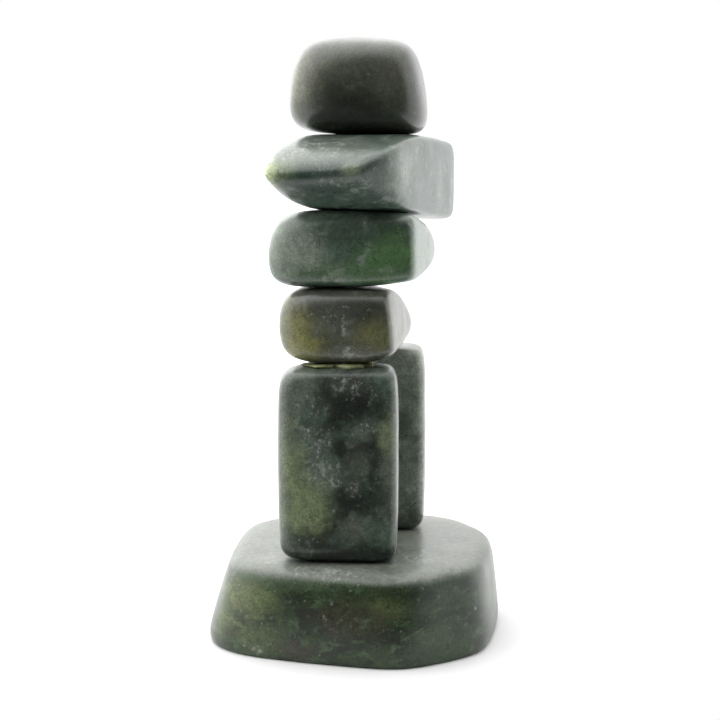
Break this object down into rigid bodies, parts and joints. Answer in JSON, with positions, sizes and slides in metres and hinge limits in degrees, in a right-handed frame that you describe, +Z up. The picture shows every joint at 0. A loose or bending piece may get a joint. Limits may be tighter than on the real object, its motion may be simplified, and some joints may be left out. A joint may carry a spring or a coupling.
{
  "type": "stone inukshuk figure",
  "caption": "Small inukshuk ornament: polished stones glued in a stack as legs, hips, belly, outstretched arms and head on a slab.",
  "frame": {"origin": "on the surface that the slab stands on, under the middle of the figure's bounding box", "axes": "+Z up; the legs stand in a row along X and the arms lie along X; the figure faces -Y, so its own right is -X"},
  "size_m": [0.0382, 0.0376, 0.0759],
  "materials": {
    "jade": "polished, mottled green",
    "glue": "dried clear glue, yellowed"
  },
  "bodies": {
    "root": {"base": "jade", "right_leg": "jade", "left_leg": "jade", "leg_glue": "glue", "hips": "jade", "belly": "jade", "arms": "jade", "head": "jade"}
  },
  "joints": []
}
